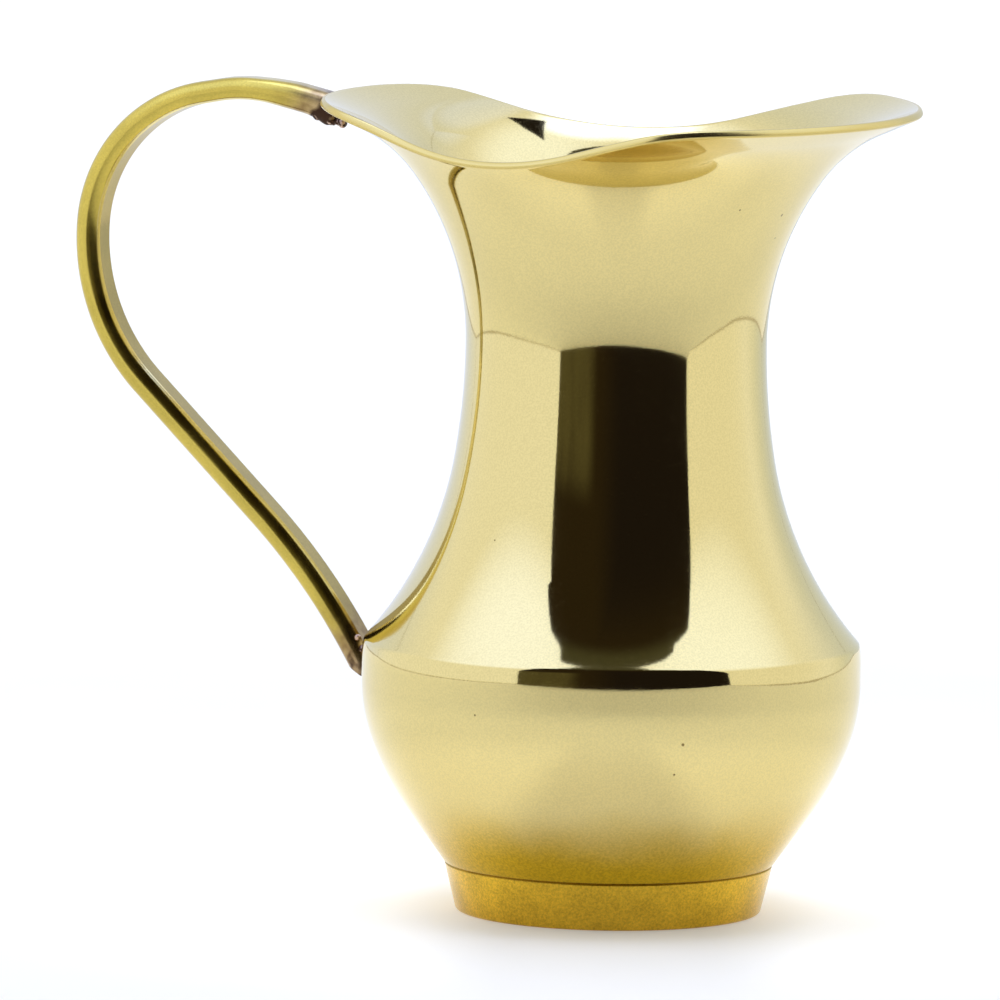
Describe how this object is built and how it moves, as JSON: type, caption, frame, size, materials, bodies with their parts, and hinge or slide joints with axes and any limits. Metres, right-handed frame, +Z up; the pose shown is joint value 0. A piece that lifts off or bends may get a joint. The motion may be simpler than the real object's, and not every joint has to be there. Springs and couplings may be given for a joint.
{
  "type": "handled water jug",
  "caption": "Small brass water jug: a rounded bowl on a foot ring, a waisted neck, a flared lip that dips at the sides to form a pouring end, and a bent half-round bar handle brazed on.",
  "frame": {"origin": "on the jug's axis, in the plane of the foot ring's flat underside", "axes": "+Z up along the jug's axis, +X from the axis towards the pouring side, the handle on -X"},
  "size_m": [0.1323, 0.0758, 0.1223],
  "materials": {
    "polished_brass": "mirror polished",
    "foot_brass": "satin, turned",
    "handle_brass": "satin polished bar",
    "braze": "dull, heat stained"
  },
  "bodies": {
    "root": {"foot_ring": "foot_brass", "bowl": "polished_brass", "neck": "polished_brass", "handle": "handle_brass", "foot_braze": "braze", "shoulder_braze": "braze", "upper_handle_braze": "braze", "lower_handle_braze": "braze"}
  },
  "joints": []
}
